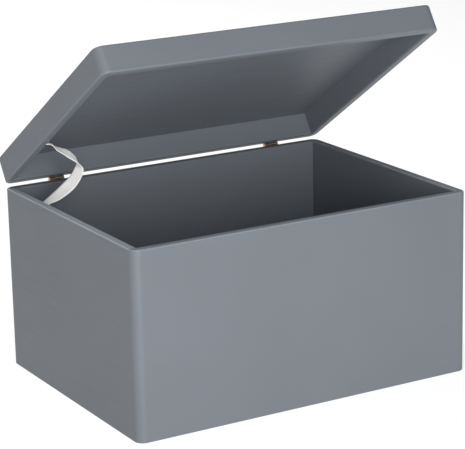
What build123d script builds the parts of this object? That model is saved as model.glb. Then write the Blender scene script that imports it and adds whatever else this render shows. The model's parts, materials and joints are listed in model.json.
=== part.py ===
from build123d import *
import math
import os

# A painted wooden storage box with a shallow hinged lid, a pair of brass butt hinges on the
# outside of the back, and a ribbon stay on the left that stops the lid.
# Millimetres. Origin: centre of the body's underside. +X is to the right along the length,
# +Y is to the back (the hinge side), +Z is up. The lid is stored open by REST_ANGLE.

# Carcass
LENGTH = 400.0          # outside, along X
DEPTH = 300.0           # outside, along Y
BODY_HEIGHT = 200.0
LID_HEIGHT = 29.5
LID_GAP = 0.5           # between the two rims when the lid is shut
WALL = 10.0             # solid wood walls and lid rails
SHEET = 3.0             # plywood bottom and top sheets
REBATE = 5.0            # how far the sheets reach into the walls
SHEET_PLAY = 0.2        # gap all round each sheet in its rebate
CORNER_RADIUS = 10.0    # upright outer corners
EDGE_RADIUS = 2.0       # eased rims and top edges
FOOT_RADIUS = 0.8       # eased lower edge

# Hinges
HINGE_SPREAD = 138.0    # half the distance between the two hinges
HINGE_OFFSET = 2.0      # the pair sits this far to the right of the middle
HINGE_LENGTH = 17.6
LEAF_WIDTH = 13.0       # from the pin's axis to the leaf's free edge
LEAF_THICKNESS = 1.0
AXIS_SETBACK = 3.2      # pin axis behind the back face
BARREL_RADIUS = 2.6
PIN_RADIUS = 1.0
PIN_PLAY = 0.05         # radial clearance of the pin in the knuckles
PIN_HEAD_RADIUS = 1.7
PIN_HEAD_LENGTH = 0.6
KNUCKLE_GAP = 0.25      # between neighbouring knuckles
LEAF_CLEARANCE = 0.4    # between a leaf and the other leaf's knuckle
REST_ANGLE = 33.2       # how far the stored lid is open
FULL_ANGLE = 90.0       # where the ribbon goes taut

# Hinge screws
HINGE_SCREW_SPREAD = 5.5      # screw from the hinge's middle
HINGE_SCREW_REACH = 8.5       # screw from the pin's axis
HINGE_SCREW_HEAD_RADIUS = 1.9
HINGE_SCREW_SHANK_RADIUS = 0.9
HINGE_SCREW_LENGTH = 8.0
HEAD_RISE = 0.5               # crown of the head above its leaf
SLOT_WIDTH = 0.45
SLOT_DEPTH = 0.35
SCREW_PLAY = 0.02             # radial, in the wood and in the leaf

# Ribbon stay and its two fixings
RIBBON_WIDTH = 14.0
RIBBON_THICKNESS = 0.8
RIBBON_TAIL = 8.0             # ribbon past each fixing
BODY_ANCHOR_BEHIND = 67.0     # body fixing from the back face
BODY_ANCHOR_BELOW = 15.0      # body fixing below the rim
LID_ANCHOR_BEHIND = 94.0      # lid fixing from the back face, lid shut
LID_ANCHOR_ABOVE = 14.5       # lid fixing above the lid's rim, lid shut
RIBBON_BULGE = 64.6           # corner of the slack loop from the wall
RIBBON_BULGE_SHARE = 0.52     # its height, as a share of the distance between the fixings
RIBBON_NOSE_RADIUS = 10.0
RIBBON_BEND_RADIUS = 6.0
RIBBON_FLAT = 8.2             # ribbon lying on the wall beyond each fixing
TACK_SHANK_RADIUS = 1.1
TACK_LENGTH = 8.0
TACK_HEAD_RADIUS = 3.0
TACK_HEAD_HEIGHT = 1.6
WASHER_RADIUS = 4.5
WASHER_THICKNESS = 0.6

# Nails in the corner joints and in the two sheets
NAIL_RADIUS = 0.7
NAIL_HEAD_RADIUS = 1.2
NAIL_HEAD_LENGTH = 0.8
NAIL_PLAY = 0.02
CORNER_NAIL_LENGTH = 28.0
NAIL_SINK = 4.5               # corner nail's head in from the face, clear of the rounded corner
BODY_NAIL_HEIGHTS = (25.0, 75.0, 125.0, 175.0)
LID_NAIL_HEIGHTS = (8.0, 19.0)
SHEET_NAIL_LENGTH = 12.0
SHEET_NAIL_INSET = 7.5        # sheet nail from the outer face
SHEET_NAIL_PITCH_X = 90.0
SHEET_NAIL_PITCH_Y = 80.0

HALF_LENGTH = LENGTH / 2
HALF_DEPTH = DEPTH / 2
LID_BASE = BODY_HEIGHT + LID_GAP
LID_TOP = LID_BASE + LID_HEIGHT
AXIS_Y = HALF_DEPTH + AXIS_SETBACK
AXIS_Z = BODY_HEIGHT + LID_GAP / 2
BORE_RADIUS = PIN_RADIUS + PIN_PLAY
FAR = 2 * LENGTH              # safely outside the box, for cutting blocks


def block(x0, x1, y0, y1, z0, z1):
    """Axis-aligned block between two corners."""
    corner = (x0, y0, z0)
    return Location(corner) * Box(x1 - x0, y1 - y0, z1 - z0, align=(Align.MIN,) * 3)


def rod(start, direction, radius, length):
    """Cylinder from a start point along a direction."""
    return Plane(origin=start, z_dir=direction) * Cylinder(
        radius, length, align=(Align.CENTER, Align.CENTER, Align.MIN)
    )


def opened(shape):
    """A piece of the shut lid, swung open to the stored pose."""
    swing = Pos(0, AXIS_Y, AXIS_Z) * Rot(-REST_ANGLE, 0, 0) * Pos(0, -AXIS_Y, -AXIS_Z)
    return swing * shape


def opened_point(y, z, degrees=REST_ANGLE):
    """Where a point (y, z) of the shut lid lies once the lid is opened, by default as stored."""
    angle = math.radians(degrees)
    dy, dz = y - AXIS_Y, z - AXIS_Z
    return (
        AXIS_Y + dy * math.cos(angle) + dz * math.sin(angle),
        AXIS_Z - dy * math.sin(angle) + dz * math.cos(angle),
    )


# Walls

def wall_ring(z0, height, eased_outer_top, eased_outer_bottom, eased_inner_z):
    """Four-sided ring of walls with rounded corners and eased edges."""
    outline = RectangleRounded(LENGTH, DEPTH, CORNER_RADIUS)
    outer = Pos(0, 0, z0) * extrude(outline, height)
    top = outer.faces().sort_by(Axis.Z)[-1]
    outer = fillet(top.edges(), eased_outer_top)
    bottom = outer.faces().sort_by(Axis.Z)[0]
    outer = fillet(bottom.edges(), eased_outer_bottom)
    ring = outer - block(
        WALL - HALF_LENGTH, HALF_LENGTH - WALL, WALL - HALF_DEPTH, HALF_DEPTH - WALL, z0, z0 + height
    )
    rim = ring.edges().filter_by_position(Axis.Z, eased_inner_z - 0.1, eased_inner_z + 0.1)
    inner_rim = [e for e in rim if abs(e.center().X) < HALF_LENGTH - WALL + 0.1
                 and abs(e.center().Y) < HALF_DEPTH - WALL + 0.1]
    return fillet(inner_rim, EDGE_RADIUS)


def sheet_rebate(z0):
    """Block that cuts the rebate for a bottom or top sheet."""
    reach_x = HALF_LENGTH - WALL + REBATE
    reach_y = HALF_DEPTH - WALL + REBATE
    return block(-reach_x, reach_x, -reach_y, reach_y, z0, z0 + SHEET)


def split_ring(ring):
    """Front and back boards run the full length; the side boards butt between them."""
    inner_y = HALF_DEPTH - WALL
    cutters = {
        "front": block(-FAR, FAR, -FAR, -inner_y, -FAR, FAR),
        "back": block(-FAR, FAR, inner_y, FAR, -FAR, FAR),
        "left": block(-FAR, 0, -inner_y, inner_y, -FAR, FAR),
        "right": block(0, FAR, -inner_y, inner_y, -FAR, FAR),
    }
    return {side: ring & cutter for side, cutter in cutters.items()}


def sheet(z0):
    """Plywood sheet that sits in the rebate."""
    play = WALL - REBATE + SHEET_PLAY
    return block(
        play - HALF_LENGTH, HALF_LENGTH - play, play - HALF_DEPTH, HALF_DEPTH - play, z0, z0 + SHEET
    )


# Nails

def nail(start, direction, length):
    """Round nail: start is the middle of its head's outer face."""
    head = rod(start, direction, NAIL_HEAD_RADIUS, NAIL_HEAD_LENGTH)
    return head + rod(start, direction, NAIL_RADIUS, length)


def nail_hole(start, direction, length):
    """The hole a nail leaves, from its head to its tip."""
    head = rod(start, direction, NAIL_HEAD_RADIUS + NAIL_PLAY, NAIL_HEAD_LENGTH)
    return head + rod(start, direction, NAIL_RADIUS + NAIL_PLAY, length)


def corner_nail_places(heights):
    """Nails through the front and back boards into the ends of the side boards."""
    places = []
    for z in heights:
        for x in (WALL / 2 - HALF_LENGTH, HALF_LENGTH - WALL / 2):
            for side in (-1, 1):
                start = (x, side * (HALF_DEPTH - NAIL_SINK), z)
                places.append((start, (0, -side, 0), CORNER_NAIL_LENGTH))
    return places


def evenly(half_span, pitch):
    """Evenly spaced places about the middle, no further out than half_span."""
    count = int(half_span // pitch)
    return [i * pitch for i in range(-count, count + 1)]


def sheet_nail_places(z, direction):
    """Nails round the edge of a sheet, driven into the walls."""
    edge_x = HALF_LENGTH - SHEET_NAIL_INSET
    edge_y = HALF_DEPTH - SHEET_NAIL_INSET
    spots = [(x, side * edge_y) for x in evenly(edge_x, SHEET_NAIL_PITCH_X) for side in (-1, 1)]
    spots += [(side * edge_x, y) for y in evenly(edge_y - WALL, SHEET_NAIL_PITCH_Y) for side in (-1, 1)]
    return [((x, y, z), (0, 0, direction), SHEET_NAIL_LENGTH) for x, y in spots]


def group(places, make):
    """One separate solid for each place."""
    return [make(*place) for place in places]


# Hinges

def knuckle_bands(owner):
    """X ranges of a leaf's knuckles: the body leaf has the outer two, the lid leaf the middle one."""
    third = HINGE_LENGTH / 3
    half_gap = KNUCKLE_GAP / 2
    if owner == "lid":
        return [(-third / 2 + half_gap, third / 2 - half_gap)]
    outer = HINGE_LENGTH / 2
    return [(-outer, -third / 2 - half_gap), (third / 2 + half_gap, outer)]


def leaf(owner, centre_x):
    """Flat leaf on the back face, rolled into knuckles round the pin (lid shut)."""
    up = 1 if owner == "lid" else -1
    z_free = AXIS_Z + up * LEAF_WIDTH
    half = HINGE_LENGTH / 2
    plate_edges = sorted((AXIS_Z, z_free))
    plate = block(-half, half, HALF_DEPTH, HALF_DEPTH + LEAF_THICKNESS, *plate_edges)
    free_corners = [e for e in plate.edges().filter_by(Axis.Y) if abs(e.center().Z - z_free) < 0.1]
    plate = fillet(free_corners, 1.5)
    other = "body" if owner == "lid" else "lid"
    reach = BARREL_RADIUS + LEAF_CLEARANCE
    for x0, x1 in knuckle_bands(other):
        notch = sorted((AXIS_Z - up, AXIS_Z + up * reach))
        plate -= block(x0 - KNUCKLE_GAP, x1 + KNUCKLE_GAP, HALF_DEPTH - 1, AXIS_Y, *notch)
    for x0, x1 in knuckle_bands(owner):
        plate += rod((x0, AXIS_Y, AXIS_Z), (1, 0, 0), BARREL_RADIUS, x1 - x0)
    plate -= rod((-half - 1, AXIS_Y, AXIS_Z), (1, 0, 0), BORE_RADIUS, HINGE_LENGTH + 2)
    for start in hinge_screw_starts(owner, 0):
        plate -= countersink(start)
    return Pos(centre_x, 0, 0) * plate


def hinge_pin(centre_x):
    """Headed pin through all the knuckles."""
    half = HINGE_LENGTH / 2
    start = (centre_x - half, AXIS_Y, AXIS_Z)
    end = (centre_x + half, AXIS_Y, AXIS_Z)
    pin = rod(start, (1, 0, 0), PIN_RADIUS, HINGE_LENGTH)
    pin += rod(start, (-1, 0, 0), PIN_HEAD_RADIUS, PIN_HEAD_LENGTH)
    pin += rod(end, (1, 0, 0), PIN_HEAD_RADIUS, PIN_HEAD_LENGTH)
    outer_rims = [e for e in pin.edges().filter_by(GeomType.CIRCLE)
                  if abs(abs(e.center().X - centre_x) - half - PIN_HEAD_LENGTH) < 0.01]
    return fillet(outer_rims, PIN_HEAD_LENGTH / 2)


def hinge_screw_starts(owner, centre_x):
    """Points on the leaf's outer face where its two screws go in."""
    up = 1 if owner == "lid" else -1
    z = AXIS_Z + up * HINGE_SCREW_REACH
    face_y = HALF_DEPTH + LEAF_THICKNESS
    return [(centre_x + side * HINGE_SCREW_SPREAD, face_y, z) for side in (-1, 1)]


def countersink(start):
    """Countersunk hole through a leaf."""
    cone = Plane(origin=start, z_dir=(0, -1, 0)) * Cone(
        HINGE_SCREW_HEAD_RADIUS + SCREW_PLAY, HINGE_SCREW_SHANK_RADIUS + SCREW_PLAY, LEAF_THICKNESS,
        align=(Align.CENTER, Align.CENTER, Align.MIN),
    )
    return cone


def hinge_screw(start):
    """Raised countersunk screw with a slot, driven into the wood."""
    head = Plane(origin=start, z_dir=(0, -1, 0)) * Cone(
        HINGE_SCREW_HEAD_RADIUS, HINGE_SCREW_SHANK_RADIUS, LEAF_THICKNESS,
        align=(Align.CENTER, Align.CENTER, Align.MIN),
    )
    crown = rod(start, (0, 1, 0), HINGE_SCREW_HEAD_RADIUS, HEAD_RISE)
    rim = crown.faces().sort_by(Axis.Y)[-1].edges()
    crown = fillet(rim, HEAD_RISE * 0.8)
    shank = rod(start, (0, -1, 0), HINGE_SCREW_SHANK_RADIUS, HINGE_SCREW_LENGTH)
    x, y, z = start
    slot = block(
        x - HINGE_SCREW_HEAD_RADIUS, x + HINGE_SCREW_HEAD_RADIUS,
        y + HEAD_RISE - SLOT_DEPTH, y + HEAD_RISE + 1,
        z - SLOT_WIDTH / 2, z + SLOT_WIDTH / 2,
    )
    return head + crown + shank - slot


def hinge_screw_hole(start):
    """Pilot hole in the wood behind a leaf."""
    x, _, z = start
    depth = HINGE_SCREW_LENGTH - LEAF_THICKNESS
    return rod((x, HALF_DEPTH, z), (0, -1, 0), HINGE_SCREW_SHANK_RADIUS + SCREW_PLAY, depth)


# Ribbon stay

WALL_FACE_X = WALL - HALF_LENGTH
BODY_ANCHOR = (WALL_FACE_X, HALF_DEPTH - BODY_ANCHOR_BEHIND, BODY_HEIGHT - BODY_ANCHOR_BELOW)
LID_ANCHOR = (WALL_FACE_X, HALF_DEPTH - LID_ANCHOR_BEHIND, LID_BASE + LID_ANCHOR_ABOVE)
LID_ANCHOR_OPEN = (WALL_FACE_X, *opened_point(LID_ANCHOR[1], LID_ANCHOR[2]))


def fixing_distance(degrees):
    """Straight distance between the ribbon's fixings at an opening angle."""
    y, z = opened_point(LID_ANCHOR[1], LID_ANCHOR[2], degrees)
    return math.dist(BODY_ANCHOR[1:], (y, z))


def ribbon_frame():
    """Plane at the body fixing: its x is off the wall, its y is toward the lid's fixing."""
    toward_lid = Vector(*LID_ANCHOR_OPEN) - Vector(*BODY_ANCHOR)
    across = Vector(1, 0, 0).cross(toward_lid.normalized())
    return Plane(origin=BODY_ANCHOR, x_dir=(1, 0, 0), z_dir=across), toward_lid.length


def ribbon_path(span):
    """Middle line of the slack ribbon, from below the body fixing to past the lid fixing."""
    off_wall = RIBBON_THICKNESS / 2
    return FilletPolyline(
        (off_wall, -RIBBON_TAIL),
        (off_wall, RIBBON_FLAT),
        (RIBBON_BULGE, RIBBON_BULGE_SHARE * span),
        (off_wall, span - RIBBON_FLAT),
        (off_wall, span + RIBBON_TAIL),
        radius=[RIBBON_BEND_RADIUS, RIBBON_NOSE_RADIUS, RIBBON_BEND_RADIUS],
    )


def ribbon():
    """Flat woven ribbon in a slack loop, with a hole at each fixing."""
    plane, span = ribbon_frame()
    band = trace(ribbon_path(span), line_width=RIBBON_THICKNESS)
    strip = plane * extrude(band, RIBBON_WIDTH / 2, both=True)
    for anchor in (BODY_ANCHOR, LID_ANCHOR_OPEN):
        strip -= rod(anchor, (1, 0, 0), TACK_SHANK_RADIUS + SCREW_PLAY, 2 * RIBBON_THICKNESS)
    return strip


def tack(anchor):
    """Round-headed screw that holds the ribbon to the wood."""
    x, y, z = anchor
    seat = x + RIBBON_THICKNESS + WASHER_THICKNESS
    head = rod((seat, y, z), (1, 0, 0), TACK_HEAD_RADIUS, TACK_HEAD_HEIGHT)
    rim = head.faces().sort_by(Axis.X)[-1].edges()
    head = fillet(rim, TACK_HEAD_HEIGHT * 0.7)
    head -= block(
        seat + TACK_HEAD_HEIGHT - 2 * SLOT_DEPTH, seat + 2 * TACK_HEAD_HEIGHT,
        y - TACK_HEAD_RADIUS, y + TACK_HEAD_RADIUS,
        z - SLOT_WIDTH, z + SLOT_WIDTH,
    )
    return head + rod((seat, y, z), (-1, 0, 0), TACK_SHANK_RADIUS, TACK_LENGTH)


def tack_washer(anchor):
    """Cup washer between the screw's head and the ribbon."""
    x, y, z = anchor
    seat = (x + RIBBON_THICKNESS, y, z)
    disc = rod(seat, (1, 0, 0), WASHER_RADIUS, WASHER_THICKNESS)
    return disc - rod(seat, (1, 0, 0), TACK_SHANK_RADIUS + SCREW_PLAY, WASHER_THICKNESS)


def tack_hole(anchor):
    """Pilot hole in the wood behind a ribbon fixing."""
    depth = TACK_LENGTH - RIBBON_THICKNESS - WASHER_THICKNESS
    return rod(anchor, (-1, 0, 0), TACK_SHANK_RADIUS + SCREW_PLAY, depth)


# Assembly

HINGES = {"left": HINGE_OFFSET - HINGE_SPREAD, "right": HINGE_OFFSET + HINGE_SPREAD}


def build_body():
    """Body walls, bottom and their nails."""
    ring = wall_ring(0, BODY_HEIGHT, EDGE_RADIUS, FOOT_RADIUS, BODY_HEIGHT) - sheet_rebate(0)
    corner_nails = corner_nail_places(BODY_NAIL_HEIGHTS)
    sheet_nails = sheet_nail_places(0, 1)
    holes = group(corner_nails + sheet_nails, nail_hole) + [tack_hole(BODY_ANCHOR)]
    for centre_x in HINGES.values():
        holes += [hinge_screw_hole(start) for start in hinge_screw_starts("body", centre_x)]
    walls = split_ring(ring - holes)
    nodes = {f"body_{side}_panel": wall for side, wall in walls.items()}
    nodes["body_bottom_panel"] = sheet(0) - group(sheet_nails, nail_hole)
    nodes["body_corner_nails"] = group(corner_nails, nail)
    nodes["bottom_panel_nails"] = group(sheet_nails, nail)
    return nodes


def build_lid():
    """Lid rails, top and their nails, with the lid shut."""
    ring = wall_ring(LID_BASE, LID_HEIGHT, EDGE_RADIUS, EDGE_RADIUS, LID_BASE)
    ring -= sheet_rebate(LID_TOP - SHEET)
    corner_nails = corner_nail_places([LID_BASE + z for z in LID_NAIL_HEIGHTS])
    sheet_nails = sheet_nail_places(LID_TOP, -1)
    holes = group(corner_nails + sheet_nails, nail_hole) + [tack_hole(LID_ANCHOR)]
    for centre_x in HINGES.values():
        holes += [hinge_screw_hole(start) for start in hinge_screw_starts("lid", centre_x)]
    rails = split_ring(ring - holes)
    nodes = {f"lid_{side}_rail": rail for side, rail in rails.items()}
    nodes["lid_top_panel"] = sheet(LID_TOP - SHEET) - group(sheet_nails, nail_hole)
    nodes["lid_corner_nails"] = group(corner_nails, nail)
    nodes["top_panel_nails"] = group(sheet_nails, nail)
    return nodes


def build_hinge(side):
    """Pieces of one hinge that stay with the body, and those that go with the lid (shut)."""
    centre_x = HINGES[side]
    body_starts = [(start,) for start in hinge_screw_starts("body", centre_x)]
    lid_starts = [(start,) for start in hinge_screw_starts("lid", centre_x)]
    fixed = {
        f"hinge_{side}_body_leaf": leaf("body", centre_x),
        f"hinge_{side}_pin": hinge_pin(centre_x),
        f"hinge_{side}_body_screws": group(body_starts, hinge_screw),
    }
    moving = {
        f"hinge_{side}_lid_leaf": leaf("lid", centre_x),
        f"hinge_{side}_lid_screws": group(lid_starts, hinge_screw),
    }
    return fixed, moving


def build_stay():
    """The ribbon and its fixings, in the stored pose."""
    fixed = {
        "ribbon_stay": ribbon(),
        "ribbon_body_screw": tack(BODY_ANCHOR),
        "ribbon_body_washer": tack_washer(BODY_ANCHOR),
    }
    moving = {
        "ribbon_lid_screw": tack(LID_ANCHOR),
        "ribbon_lid_washer": tack_washer(LID_ANCHOR),
    }
    return fixed, moving


def write(name, shape):
    """One STEP file for each node."""
    solids = shape if isinstance(shape, list) else [shape]
    label = solids[0] if len(solids) == 1 else Compound(children=solids)
    export_step(label, f"parts/{name}.step")


def main():
    os.makedirs("parts", exist_ok=True)
    standing = build_body()
    swinging = build_lid()
    for fixed, moving in (build_hinge("left"), build_hinge("right"), build_stay()):
        standing |= fixed
        swinging |= moving
    for name, shape in standing.items():
        write(name, shape)
    for name, shape in swinging.items():
        pieces = shape if isinstance(shape, list) else [shape]
        write(name, [opened(piece) for piece in pieces])
    _, span = ribbon_frame()
    print("ribbon between its fixings", round(ribbon_path(span).length - 2 * RIBBON_TAIL, 1))
    print("distance of the fixings at full opening", round(fixing_distance(FULL_ANGLE), 1))


main()
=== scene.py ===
import json
import math

import bmesh
import bpy
import numpy as np
from mathutils import Matrix, Vector


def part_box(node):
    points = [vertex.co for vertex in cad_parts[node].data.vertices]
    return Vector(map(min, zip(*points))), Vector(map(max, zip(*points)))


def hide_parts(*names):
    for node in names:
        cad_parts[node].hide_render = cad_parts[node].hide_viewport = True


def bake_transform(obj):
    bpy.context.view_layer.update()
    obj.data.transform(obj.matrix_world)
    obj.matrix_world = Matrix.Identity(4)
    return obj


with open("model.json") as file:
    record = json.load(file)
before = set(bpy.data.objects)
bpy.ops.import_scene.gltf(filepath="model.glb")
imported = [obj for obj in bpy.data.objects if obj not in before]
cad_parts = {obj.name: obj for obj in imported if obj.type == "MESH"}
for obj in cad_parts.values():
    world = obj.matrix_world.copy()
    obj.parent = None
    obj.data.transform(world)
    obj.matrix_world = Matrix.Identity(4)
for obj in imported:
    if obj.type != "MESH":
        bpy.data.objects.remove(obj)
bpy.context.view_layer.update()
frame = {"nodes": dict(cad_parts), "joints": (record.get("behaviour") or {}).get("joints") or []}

# Looks for a grey-painted wooden box with a hinged lid. Metres, in the frame of the CAD model:
# +X along the length, +Y to the back, +Z up, origin under the middle of the body.

MM = 0.001

# Camera, as a photographer would set it: round the box, above the horizon, and off the box's middle
CAMERA_AZIMUTH = -29.94      # degrees; negative looks from the left
CAMERA_ELEVATION = 15.59
CAMERA_ROLL = -1.28
CAMERA_DISTANCE = 2.2873
CAMERA_SIDE = -0.0046
CAMERA_RISE = 0.1547
CAMERA_LENS = 161.43         # millimetres, as is the sensor
SENSOR_WIDTH = 36.0
CAMERA_REACH = 200.0         # nothing further away is drawn

# Colours are linear
PAINT = (0.116, 0.128, 0.144)
PAINTED_RIM_LIGHT = (0.280, 0.308, 0.345)
# paler paint for the rim tops and their edges: a painted highlight where the rims catch light from above
BRASS = (0.80, 0.55, 0.38)
BRASS_PATINA = (0.16, 0.08, 0.05)
NICKEL = (0.62, 0.60, 0.57)
NICKEL_PATINA = (0.35, 0.33, 0.30)
STEEL = (0.42, 0.42, 0.41)
STEEL_PATINA = (0.20, 0.17, 0.15)
TAPE = (0.80, 0.79, 0.78)
FLOOR = (0.35, 0.35, 0.35)
FLOOR_GLOW = 0.72            # the floor is lit from below, as a light table is
FLOOR_SIZE = 60.0
FLOOR_SHIFT = 20.0           # its middle is this far behind the box

# Paint: scale of each pattern, and how many times longer it is along the grain than across it
CLOUD_SCALE = 7.0
RINGS_SCALE = 160.0
RINGS_STRETCH = 30.0
STROKES_SCALE = 900.0
STROKES_STRETCH = 60.0
PEEL_SCALE = 1400.0
PAINTED_RIM_LIGHT_DEPTH = 2.0 * MM      # how far down from the rim the painted rim highlight reaches
PAINTED_RIM_LIGHT_FULL = 0.2 * MM       # how far down it is at its palest
WEAK_PAINTED_RIM_LIGHT = 0.45         # share of the painted rim highlight on the front and right rims, which catch less light

# Metal: scale of the tarnish and of the scratches
PATCH_SCALE = 260.0
SCRATCH_SCALE = 3000.0
SCRATCH_STRETCH = 25.0

# Tape
WEFT_PITCH = 0.9 * MM        # ribs across the tape
WARP_PITCH = 0.7 * MM        # threads along it
THREAD_SCALE = 900.0
THREAD_WANDER = 1.2          # radians that a thread strays from its even place

LID_ANGLE = -frame["joints"][0]["range_deg"][0]     # how far the lid is open at rest, in degrees


# Node helpers

def new_material(name):
    """Material with one Principled shader; returns the material, its tree and the shader."""
    material = bpy.data.materials.new(name)
    material.use_nodes = True
    tree = material.node_tree
    return material, tree, tree.nodes["Principled BSDF"]


def add(tree, kind, **values):
    """Node of a kind, with its properties and inputs set by name."""
    node = tree.nodes.new(kind)
    for key, value in values.items():
        if hasattr(node, key):
            setattr(node, key, value)
        else:
            node.inputs[key.replace("_", " ")].default_value = value
    return node


def link(tree, source, target):
    tree.links.new(source, target)


def math_node(tree, operation, a, b=0.0):
    """Math node on two sockets or numbers."""
    node = add(tree, "ShaderNodeMath", operation=operation)
    for socket, value in zip(node.inputs, (a, b)):
        if isinstance(value, (int, float)):
            socket.default_value = value
        else:
            link(tree, value, socket)
    return node.outputs[0]


def noise(tree, coordinates, scale, detail=3.0, roughness=0.5):
    node = add(tree, "ShaderNodeTexNoise", Scale=scale, Detail=detail, Roughness=roughness)
    link(tree, coordinates, node.inputs["Vector"])
    return node.outputs["Fac"]


def map_range(tree, value, low, high, to_low, to_high, smooth=False):
    node = add(tree, "ShaderNodeMapRange", From_Min=low, From_Max=high, To_Min=to_low, To_Max=to_high)
    if smooth:
        node.interpolation_type = "SMOOTHSTEP"
    link(tree, value, node.inputs["Value"])
    return node.outputs["Result"]


def colour_sockets(node):
    """The colour inputs and output of a Mix node, whose names repeat for each data type."""
    inputs = [s for s in node.inputs if s.type == "RGBA"]
    output = [s for s in node.outputs if s.type == "RGBA"][0]
    return inputs[0], inputs[1], output


def blend_colours(tree, factor, first, second):
    node = add(tree, "ShaderNodeMix", data_type="RGBA")
    a, b, result = colour_sockets(node)
    link(tree, factor, node.inputs["Factor"])
    for socket, value in ((a, first), (b, second)):
        if isinstance(value, tuple):
            socket.default_value = (*value, 1.0)
        else:
            link(tree, value, socket)
    return result


def scaled(colour, factor):
    return tuple(min(1.0, c * factor) for c in colour)


def bump(tree, height, strength, distance, below=None):
    node = add(tree, "ShaderNodeBump", Strength=strength, Distance=distance)
    link(tree, height, node.inputs["Height"])
    if below is not None:
        link(tree, below, node.inputs["Normal"])
    return node.outputs["Normal"]


# Paint on wood

def box_coordinates(tree, tilt):
    """Coordinates turned with the lid, so that the grain follows its boards."""
    source = add(tree, "ShaderNodeTexCoord").outputs["Object"]
    if not tilt:
        return source
    turn = add(tree, "ShaderNodeMapping")
    turn.inputs["Rotation"].default_value = (math.radians(tilt), 0, 0)
    link(tree, source, turn.inputs["Vector"])
    return turn.outputs["Vector"]


def along_grain(tree, coordinates, axis, stretch):
    """Coordinates squeezed along one axis, so that a pattern draws out along it."""
    scale = [1.0, 1.0, 1.0]
    scale["XYZ".index(axis)] = 1.0 / stretch
    squeeze = add(tree, "ShaderNodeMapping")
    squeeze.inputs["Scale"].default_value = scale
    link(tree, coordinates, squeeze.inputs["Vector"])
    return squeeze.outputs["Vector"]


def paint_rim_light(tree, tone, coordinates, cloud, rim, rim_light_share):
    """Paler paint on a rim and its edges: a painted highlight where the rim catches light from above."""
    split = add(tree, "ShaderNodeSeparateXYZ")
    link(tree, coordinates, split.inputs[0])
    near = map_range(
        tree, split.outputs["Z"], rim - PAINTED_RIM_LIGHT_DEPTH, rim - PAINTED_RIM_LIGHT_FULL, 0.0, 1.0, smooth=True
    )
    uneven = map_range(tree, cloud, 0.3, 0.7, 0.75 * rim_light_share, rim_light_share)
    return blend_colours(tree, math_node(tree, "MULTIPLY", near, uneven), tone, PAINTED_RIM_LIGHT)


def paint(name, grain_axis, tilt=0.0, rim=None, rim_light_share=1.0):
    """Satin grey paint, with the grain and the brush marks of the board just showing."""
    material, tree, shader = new_material(name)
    coordinates = box_coordinates(tree, tilt)
    grain = along_grain(tree, coordinates, grain_axis, RINGS_STRETCH)
    brush = along_grain(tree, coordinates, grain_axis, STROKES_STRETCH)

    cloud = noise(tree, coordinates, CLOUD_SCALE, detail=2.0)
    rings = noise(tree, grain, RINGS_SCALE, detail=4.0, roughness=0.6)
    strokes = noise(tree, brush, STROKES_SCALE, detail=2.0)
    peel = noise(tree, coordinates, PEEL_SCALE, detail=1.0)

    tone = blend_colours(
        tree, map_range(tree, cloud, 0.3, 0.7, 0.0, 1.0), scaled(PAINT, 0.97), scaled(PAINT, 1.03)
    )
    pores = map_range(tree, rings, 0.60, 0.74, 0.0, 0.35, smooth=True)
    tone = blend_colours(tree, pores, tone, scaled(PAINT, 0.88))
    # the paler rim is a painted highlight, standing in for light on the rim tops and edges
    if rim is not None:
        tone = paint_rim_light(tree, tone, coordinates, cloud, rim, rim_light_share)
    link(tree, tone, shader.inputs["Base Color"])

    rough = map_range(tree, strokes, 0.3, 0.7, 0.40, 0.50)
    link(tree, rough, shader.inputs["Roughness"])
    shader.inputs["Specular IOR Level"].default_value = 0.25

    normal = bump(tree, rings, 0.25, 0.06 * MM)
    normal = bump(tree, strokes, 0.20, 0.03 * MM, below=normal)
    normal = bump(tree, peel, 0.15, 0.02 * MM, below=normal)
    link(tree, normal, shader.inputs["Normal"])
    return material


# Metal

def metal(name, colour, roughness, patina, patina_share):
    """Metal with tarnish in patches, fine scratches and uneven gloss."""
    material, tree, shader = new_material(name)
    coordinates = add(tree, "ShaderNodeTexCoord").outputs["Object"]
    patches = noise(tree, coordinates, PATCH_SCALE, detail=4.0, roughness=0.6)
    drawn = along_grain(tree, coordinates, "X", SCRATCH_STRETCH)
    scratches = noise(tree, drawn, SCRATCH_SCALE, detail=2.0)
    share = map_range(tree, patches, 0.40, 0.65, 0.0, patina_share, smooth=True)
    link(tree, blend_colours(tree, share, colour, patina), shader.inputs["Base Color"])
    uneven = map_range(tree, patches, 0.3, 0.7, roughness - 0.06, roughness + 0.12)
    link(tree, uneven, shader.inputs["Roughness"])
    shader.inputs["Metallic"].default_value = 1.0
    link(tree, bump(tree, scratches, 0.2, 0.02 * MM), shader.inputs["Normal"])
    return material


# Ribbon

RIBBON_WIDTH = 14.0 * MM
RIBBON_THICKNESS = 0.45 * MM
RIBBON_TAIL = 8.0 * MM
RIBBON_CLEAR = 0.45 * MM       # middle of the tape from the wood where it lies on it
LID_LEAN = 20.0                # degrees that the tape leans back down the lid's wall
RIBBON_RISE = 2.0 * MM         # tape that lies flat on the wood beyond each fixing, toward the loop
STEPS_BETWEEN = 14
STEPS_ACROSS = 8
SELVEDGE = 0.08 * MM           # extra thickness of each face at the woven edges

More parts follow.
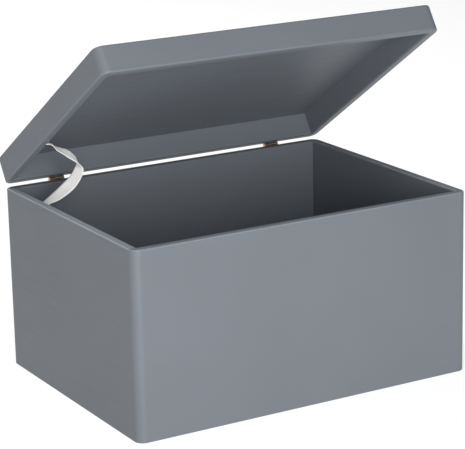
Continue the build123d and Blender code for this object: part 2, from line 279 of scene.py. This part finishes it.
# Slack loop, in mm off the wall, behind and above the body's fixing: its front and its back edge
RIBBON_LOOP = (
    ((9, -6.5, 9), (9, 7.5, 9)),
    ((20, -5.5, 11.5), (18, 7.5, 15)),
    ((29.5, -5, 15), (27, 7.5, 21.5)),
    ((38.5, -4.5, 20), (35.5, 7.5, 28)),
    ((46, -5, 28), (42, 8, 33)),
    ((50.5, -5, 36), (47, 8, 40)),
    ((50.5, -5, 41.5), (49.5, 8.5, 45)),
    ((47.5, -4.5, 46.5), (50, 8, 49)),
    ((43.5, -4.5, 50), (47.5, 7.5, 54.5)),
    ((36.5, -4.5, 55), (39.5, 6.5, 61.5)),
    ((28.5, -5, 61), (32, 7, 64.5)),
    ((21.5, -5.5, 66), (26, 7, 67)),
    ((13, -6, 74), (18, 6.5, 72)),
)


def middle(node):
    low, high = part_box(node)
    return (low + high) / 2


def ribbon_stations(body_fixing, lid_fixing, wall):
    """Front and back edge of the tape from its lower tail, past both fixings, to its upper tail."""
    flat = Vector((wall + RIBBON_CLEAR, 0, 0))
    half = RIBBON_WIDTH / 2
    across, along = Vector((0, 1, 0)), Vector((0, 0, 1))
    foot = Vector((0, body_fixing.y, body_fixing.z)) + flat
    stations = []
    for rise in (-RIBBON_TAIL, 0.0, RIBBON_RISE):
        centre = foot + along * rise
        stations.append((centre - across * half, centre + across * half))
    origin = Vector((wall, body_fixing.y, body_fixing.z))
    for front, back in RIBBON_LOOP:
        stations.append((origin + Vector(front) * MM, origin + Vector(back) * MM))
    lean = math.radians(LID_LEAN)
    across = Vector((0, math.cos(lean), math.sin(lean)))
    along = Vector((0, -math.sin(lean), math.cos(lean)))
    head = Vector((0, lid_fixing.y, lid_fixing.z)) + flat
    for rise in (-RIBBON_RISE, 0.0, RIBBON_TAIL):
        centre = head + along * rise
        stations.append((centre - across * half, centre + across * half))
    return stations


def smooth_line(points, steps):
    """Catmull-Rom curve through the points, as an array of rows."""
    p = np.array([points[0], *points, points[-1]], float)
    rows = []
    for i in range(1, len(p) - 2):
        for t in np.arange(steps) / steps:
            a, b, c, d = p[i - 1], p[i], p[i + 1], p[i + 2]
            rows.append(0.5 * (2 * b + (c - a) * t + (2 * a - 5 * b + 4 * c - d) * t**2
                               + (3 * b - a - 3 * c + d) * t**3))
    rows.append(p[-2])
    return np.array(rows)


def ribbon_lines(stations):
    """Middle line, width direction, facing and distance along the tape, at every step."""
    front = smooth_line([s[0] for s in stations], STEPS_BETWEEN)
    back = smooth_line([s[1] for s in stations], STEPS_BETWEEN)
    centre = (front + back) / 2
    tangent = np.gradient(centre, axis=0)
    tangent /= np.linalg.norm(tangent, axis=1)[:, None]
    across = back - front
    across -= tangent * np.sum(across * tangent, axis=1)[:, None]
    across /= np.linalg.norm(across, axis=1)[:, None]
    steps = np.linalg.norm(np.diff(centre, axis=0), axis=1)
    return centre, across, np.cross(tangent, across), np.concatenate([[0.0], np.cumsum(steps)])


def strip_mesh(centre, across, normal, along):
    """Closed strip about the middle line, with slightly thicker selvedges and a UV map in metres."""
    shares = np.linspace(-1.0, 1.0, STEPS_ACROSS + 1)
    thickness = RIBBON_THICKNESS / 2 + SELVEDGE * np.abs(shares) ** 6
    mesh = bmesh.new()
    uv_layer = mesh.loops.layers.uv.new("tape")

    def face_rows(side):
        return [[mesh.verts.new(Vector(c + a * share * RIBBON_WIDTH / 2 + n * side * t))
                 for share, t in zip(shares, thickness)]
                for c, a, n in zip(centre, across, normal)]

    def add_face(corners, places):
        made = mesh.faces.new(corners)
        made.smooth = True
        for loop, (row, column) in zip(made.loops, places):
            loop[uv_layer].uv = ((shares[column] + 1) * RIBBON_WIDTH / 2, along[row])

    top, under = face_rows(1.0), face_rows(-1.0)
    last_row, last_column = len(centre) - 1, len(shares) - 1
    for i in range(last_row):
        for j in range(last_column):
            places = [(i, j), (i, j + 1), (i + 1, j + 1), (i + 1, j)]
            add_face([top[r][c] for r, c in places], places)
            places.reverse()
            add_face([under[r][c] for r, c in places], places)
    rim = ([(i, 0) for i in range(last_row)] + [(last_row, j) for j in range(last_column)]
           + [(i, last_column) for i in range(last_row, 0, -1)]
           + [(0, j) for j in range(last_column, 0, -1)])
    for here, there in zip(rim, rim[1:] + rim[:1]):
        corners = [top[here[0]][here[1]], top[there[0]][there[1]],
                   under[there[0]][there[1]], under[here[0]][here[1]]]
        add_face(corners, [here, there, there, here])
    bmesh.ops.recalc_face_normals(mesh, faces=mesh.faces)
    data = bpy.data.meshes.new("ribbon_tape")
    mesh.to_mesh(data)
    mesh.free()
    return data


def ribbon():
    """Woven cotton tape in a slack loop, fixed at the body's wall and at the lid's rail."""
    body_fixing, lid_fixing = middle("ribbon_body_washer"), middle("ribbon_lid_washer")
    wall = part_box("ribbon_stay")[0].x
    centre, across, normal, along = ribbon_lines(ribbon_stations(body_fixing, lid_fixing, wall))
    data = strip_mesh(centre, across, normal, along)
    data.materials.append(woven_tape())
    tape = bpy.data.objects.new("ribbon_tape", data)
    bpy.context.scene.collection.objects.link(tape)
    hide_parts("ribbon_stay")
    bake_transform(tape)


def woven_tape():
    """White cotton tape: ribs across it, finer threads along it, and firm plain selvedges."""
    material, tree, shader = new_material("woven_tape")
    uv = add(tree, "ShaderNodeUVMap")
    uv.uv_map = "tape"
    split = add(tree, "ShaderNodeSeparateXYZ")
    link(tree, uv.outputs["UV"], split.inputs[0])
    across, along = split.outputs["X"], split.outputs["Y"]
    threads = noise(tree, add(tree, "ShaderNodeTexCoord").outputs["Object"], THREAD_SCALE, detail=2.0)
    wander = math_node(tree, "MULTIPLY", threads, THREAD_WANDER)

    def wave(place, pitch, shift=None):
        turns = math_node(tree, "MULTIPLY", place, 2 * math.pi / pitch)
        if shift is not None:
            turns = math_node(tree, "ADD", turns, shift)
        return math_node(tree, "SINE", turns)

    ribs = wave(along, WEFT_PITCH, wander)
    warp = wave(across, WARP_PITCH, wander)
    weave = math_node(tree, "ADD", ribs, math_node(tree, "MULTIPLY", warp, 0.5))
    edge = math_node(tree, "ABSOLUTE", math_node(tree, "SUBTRACT", across, RIBBON_WIDTH / 2))
    selvedge = map_range(tree, edge, RIBBON_WIDTH * 0.42, RIBBON_WIDTH * 0.46, 0.0, 1.0, smooth=True)
    shade = map_range(tree, weave, -1.5, 1.5, 0.0, 1.0)
    colour = blend_colours(tree, shade, scaled(TAPE, 0.90), TAPE)
    colour = blend_colours(tree, math_node(tree, "MULTIPLY", selvedge, 0.5), colour, scaled(TAPE, 1.05))
    link(tree, colour, shader.inputs["Base Color"])
    shader.inputs["Roughness"].default_value = 0.85
    shader.inputs["Specular IOR Level"].default_value = 0.25
    shader.inputs["Sheen Weight"].default_value = 0.3
    shader.inputs["Sheen Roughness"].default_value = 0.5
    normal = bump(tree, weave, 0.6, 0.06 * MM)
    normal = bump(tree, threads, 0.3, 0.05 * MM, below=normal)
    link(tree, normal, shader.inputs["Normal"])
    return material


# Stage and light

def white_floor():
    """Plain white floor that runs past the view."""
    bpy.ops.mesh.primitive_plane_add(size=FLOOR_SIZE, location=(0, FLOOR_SHIFT, 0))
    floor = bpy.context.object
    floor.name = "studio_floor"
    material, _, shader = new_material("studio_floor")
    shader.inputs["Base Color"].default_value = (*FLOOR, 1.0)
    shader.inputs["Emission Color"].default_value = (1.0, 1.0, 1.0, 1.0)
    shader.inputs["Emission Strength"].default_value = FLOOR_GLOW
    shader.inputs["Roughness"].default_value = 0.9
    shader.inputs["Specular IOR Level"].default_value = 0.0
    floor.data.materials.append(material)


def toward(azimuth, elevation):
    """Unit vector from the box; azimuth 0 is the front and negative is the left."""
    a, e = math.radians(azimuth), math.radians(elevation)
    return Vector((math.sin(a) * math.cos(e), -math.cos(a) * math.cos(e), math.sin(e)))


def softbox(name, azimuth, elevation, distance, size, power):
    """Square area light that looks at the box."""
    data = bpy.data.lights.new(name, "AREA")
    data.shape = "SQUARE"
    data.size = size
    data.energy = power
    light = bpy.data.objects.new(name, data)
    direction = toward(azimuth, elevation)
    light.location = LIGHT_AIM + direction * distance
    light.rotation_euler = direction.to_track_quat("Z", "Y").to_euler()
    bpy.context.scene.collection.objects.link(light)


# Softboxes: azimuth and elevation in degrees as seen from the box, distance, size and power in watts
LIGHTS = {
    "key": (-21.0, 11.0, 3.0, 1.5, 64.0),
    "front": (-20.0, 9.0, 1.35, 0.8, 10.3),
    "top_left": (-55.0, 65.0, 3.0, 1.5, 32.0),
    "back": (180.0, 40.0, 3.0, 1.5, 50.0),
}
LIGHT_AIM = Vector((0.0, 0.0, 0.15))
WORLD = 0.15


def studio_light():
    """Dim white world and the softboxes."""
    world = bpy.data.worlds.new("studio")
    world.use_nodes = True
    background = world.node_tree.nodes["Background"]
    background.inputs["Color"].default_value = (1, 1, 1, 1)
    background.inputs["Strength"].default_value = WORLD
    bpy.context.scene.world = world
    for name, settings in LIGHTS.items():
        softbox(name, *settings)


def camera():
    """Long lens from the front left, a little above the box."""
    roll = math.radians(CAMERA_ROLL)
    back = toward(CAMERA_AZIMUTH, CAMERA_ELEVATION)
    level = toward(CAMERA_AZIMUTH + 90.0, 0.0)
    upright = level.cross(-back)
    right = level * math.cos(roll) + upright * math.sin(roll)
    up = upright * math.cos(roll) - level * math.sin(roll)
    data = bpy.data.cameras.new("camera")
    data.lens = CAMERA_LENS
    data.sensor_width = SENSOR_WIDTH
    data.clip_end = CAMERA_REACH
    eye = bpy.data.objects.new("camera", data)
    place = Matrix((right, up, back)).transposed().to_4x4()
    place.translation = back * CAMERA_DISTANCE + right * CAMERA_SIDE + up * CAMERA_RISE
    eye.matrix_world = place
    bpy.context.scene.collection.objects.link(eye)
    bpy.context.scene.camera = eye


# Finishes of the CAD nodes

def finish_node(node, material):
    """Give a CAD node one material."""
    data = frame["nodes"][node].data
    data.materials.clear()
    data.materials.append(material)


def finish_boards():
    """Paint on every board, sheet and painted-over nail, with the grain along each board."""
    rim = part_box("body_left_panel")[1].z
    body_x = paint("paint_body_x", "X")
    # the paler rims of the body's side and front boards are a painted highlight
    finish_node("body_left_panel", paint("paint_left_y", "Y", rim=rim))
    finish_node("body_right_panel", paint("paint_right_y", "Y", rim=rim, rim_light_share=WEAK_PAINTED_RIM_LIGHT))
    finish_node("body_front_panel", paint("paint_front_x", "X", rim=rim, rim_light_share=WEAK_PAINTED_RIM_LIGHT))
    lid_x = paint("paint_lid_x", "X", LID_ANGLE)
    lid_y = paint("paint_lid_y", "Y", LID_ANGLE)
    for node in ("body_back_panel", "body_bottom_panel", "body_corner_nails"):
        finish_node(node, body_x)
    for node in ("lid_front_rail", "lid_back_rail", "lid_top_panel", "lid_corner_nails", "top_panel_nails"):
        finish_node(node, lid_x)
    for node in ("lid_left_rail", "lid_right_rail"):
        finish_node(node, lid_y)


def finish_metal():
    """Brass hinges and their screws, nickel ribbon fixings, and steel nails in the bottom."""
    brass = metal("brass", BRASS, 0.26, BRASS_PATINA, patina_share=0.6)
    nickel = metal("nickel", NICKEL, 0.25, NICKEL_PATINA, patina_share=0.3)
    steel = metal("steel", STEEL, 0.38, STEEL_PATINA, patina_share=0.4)
    for node in frame["nodes"]:
        if node.startswith("hinge_"):
            finish_node(node, brass)
        elif node.startswith("ribbon_") and node != "ribbon_stay":
            finish_node(node, nickel)
        elif node == "bottom_panel_nails":
            finish_node(node, steel)


def main():
    bpy.context.scene.view_settings.view_transform = "Standard"
    finish_boards()
    finish_metal()
    ribbon()
    white_floor()
    studio_light()
    camera()


main()
